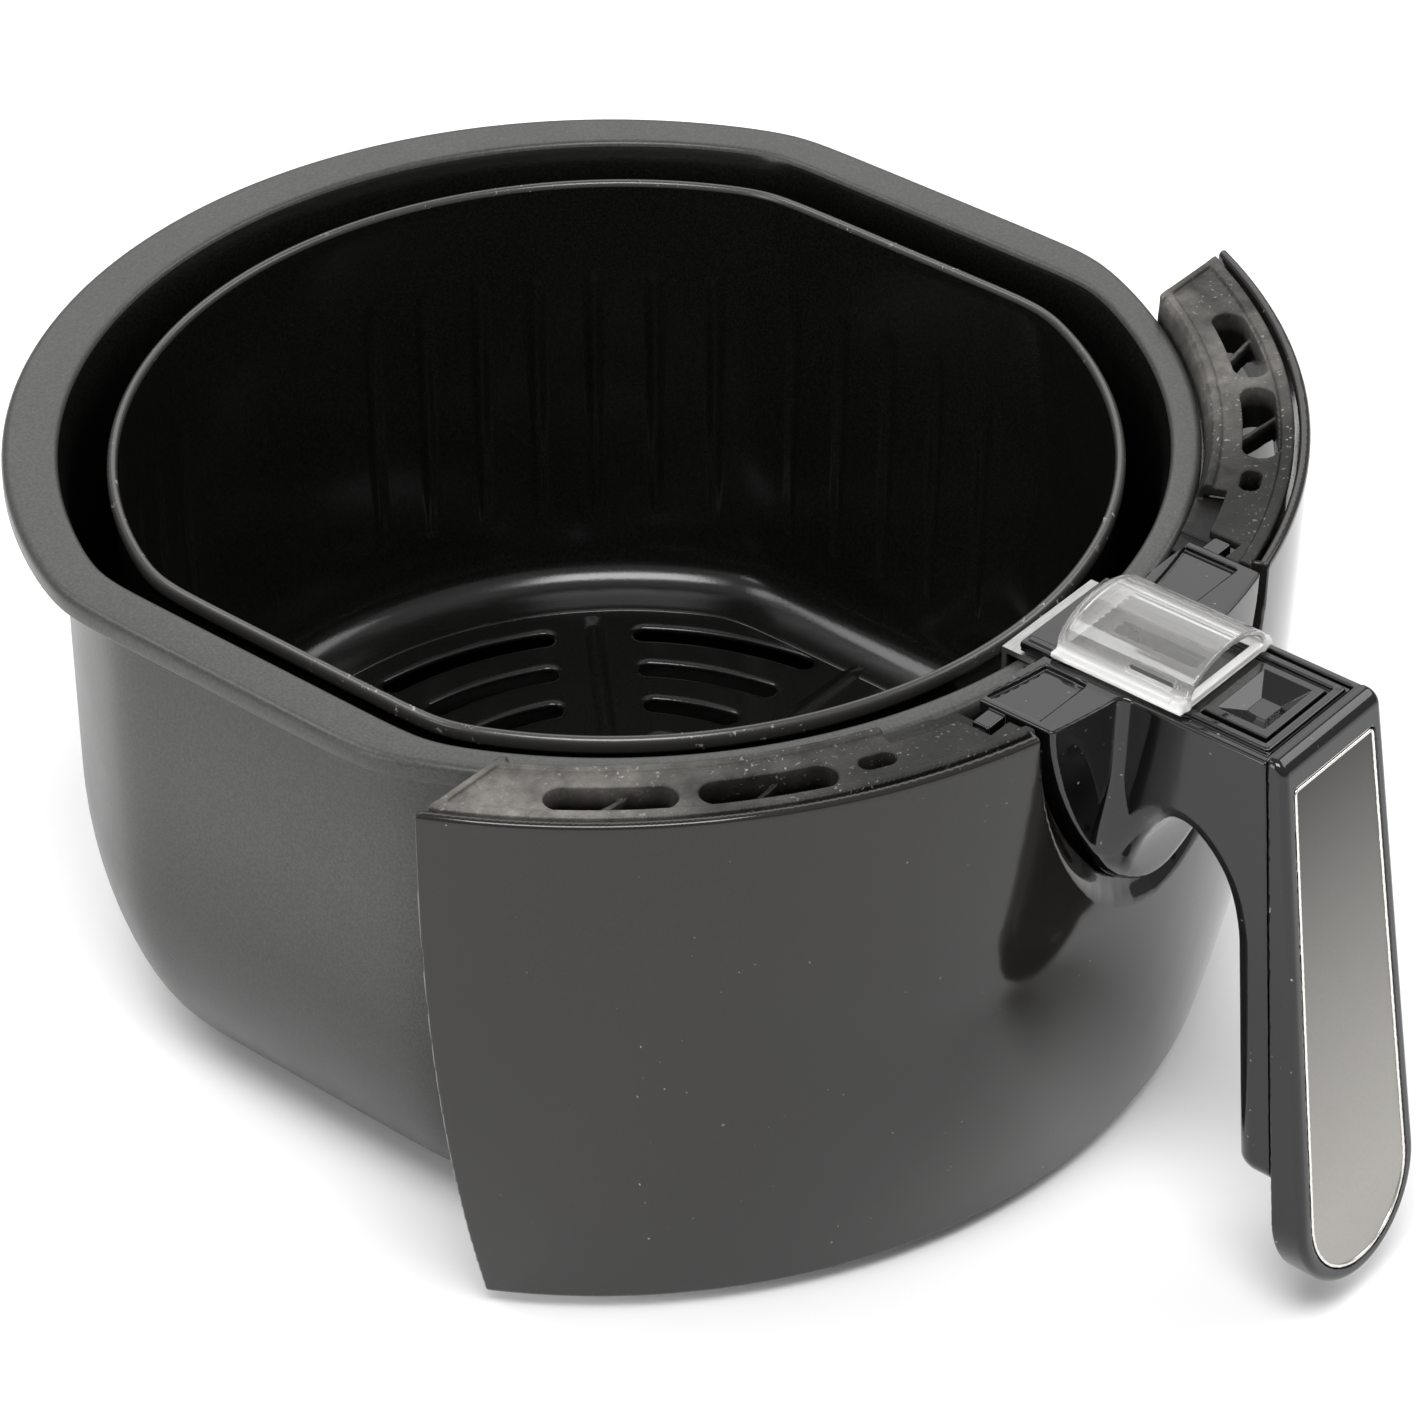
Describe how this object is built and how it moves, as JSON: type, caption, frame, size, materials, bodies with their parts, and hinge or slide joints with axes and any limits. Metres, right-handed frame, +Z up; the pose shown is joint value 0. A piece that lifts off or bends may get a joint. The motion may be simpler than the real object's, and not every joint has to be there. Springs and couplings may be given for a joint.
{
  "type": "air fryer drawer",
  "caption": "Air fryer drawer: coated pan with curved gloss front panel, and a slotted basket that lifts out by a latched handle with a button under a clear slide cover.",
  "frame": {"origin": "centre of the pan's flat underside", "axes": "+Z up, the handle points along -Y, +X to the right of a person who faces along +Y"},
  "size_m": [0.2676, 0.3316, 0.1453],
  "materials": {
    "coating": "dark grey satin non-stick coating with a fine speckle",
    "gloss_black": "gloss black moulded plastic",
    "charcoal_gloss": "gloss charcoal moulded plastic",
    "matte_black": "matte black moulded plastic",
    "silver_grey": "satin silver-grey inlay with a thin bright edge",
    "clear": "clear moulded plastic",
    "steel": "plain pressed steel"
  },
  "bodies": {
    "pan": {"pan": "coating", "front_panel": "charcoal_gloss", "bezel_left": "matte_black", "bezel_right": "matte_black", "panel_bracket_left": "steel", "panel_bracket_right": "steel", "panel_screw_left_upper": "steel", "panel_screw_left_lower": "steel", "panel_screw_right_upper": "steel", "panel_screw_right_lower": "steel", "catch_plate": "steel", "catch_screw_upper": "steel", "catch_screw_lower": "steel"},
    "basket": {"basket": "coating", "basket_bracket": "steel", "bracket_screw_left": "steel", "bracket_screw_right": "steel", "bracket_rivet_left": "steel", "bracket_rivet_right": "steel", "handle_body": "gloss_black", "handle_outer_shell": "gloss_black", "handle_inlay": "silver_grey", "handle_screw_upper": "steel", "handle_screw_lower": "steel", "top_plate": "gloss_black", "latch_pin": "steel", "return_spring": "steel"},
    "button": {"release_button": "gloss_black"},
    "latch": {"latch_lever": "steel"},
    "cover": {"slide_cover": "clear"}
  },
  "joints": [
    {"name": "basket_lift", "type": "slide", "parent": "pan", "child": "basket", "axis": [0, 0, 1], "range_m": [0, 0.16]},
    {"name": "button_press", "type": "slide", "parent": "basket", "child": "button", "axis": [0, 0, -1], "range_m": [0, 0.004], "stiffness_N_per_m": 600, "springref_m": -0.002, "deforming": ["return_spring"]},
    {"name": "latch_turn", "type": "hinge", "parent": "basket", "child": "latch", "pos_m": [0, -0.1365, 0.125], "axis": [1, 0, 0], "range_deg": [0, 7]},
    {"name": "cover_slide", "type": "slide", "parent": "basket", "child": "cover", "axis": [0, -1, 0], "range_m": [0, 0.018]}
  ],
  "couplings": [
    {"joint": "latch_turn", "follows": "button_press", "rad_per_m": 29}
  ]
}
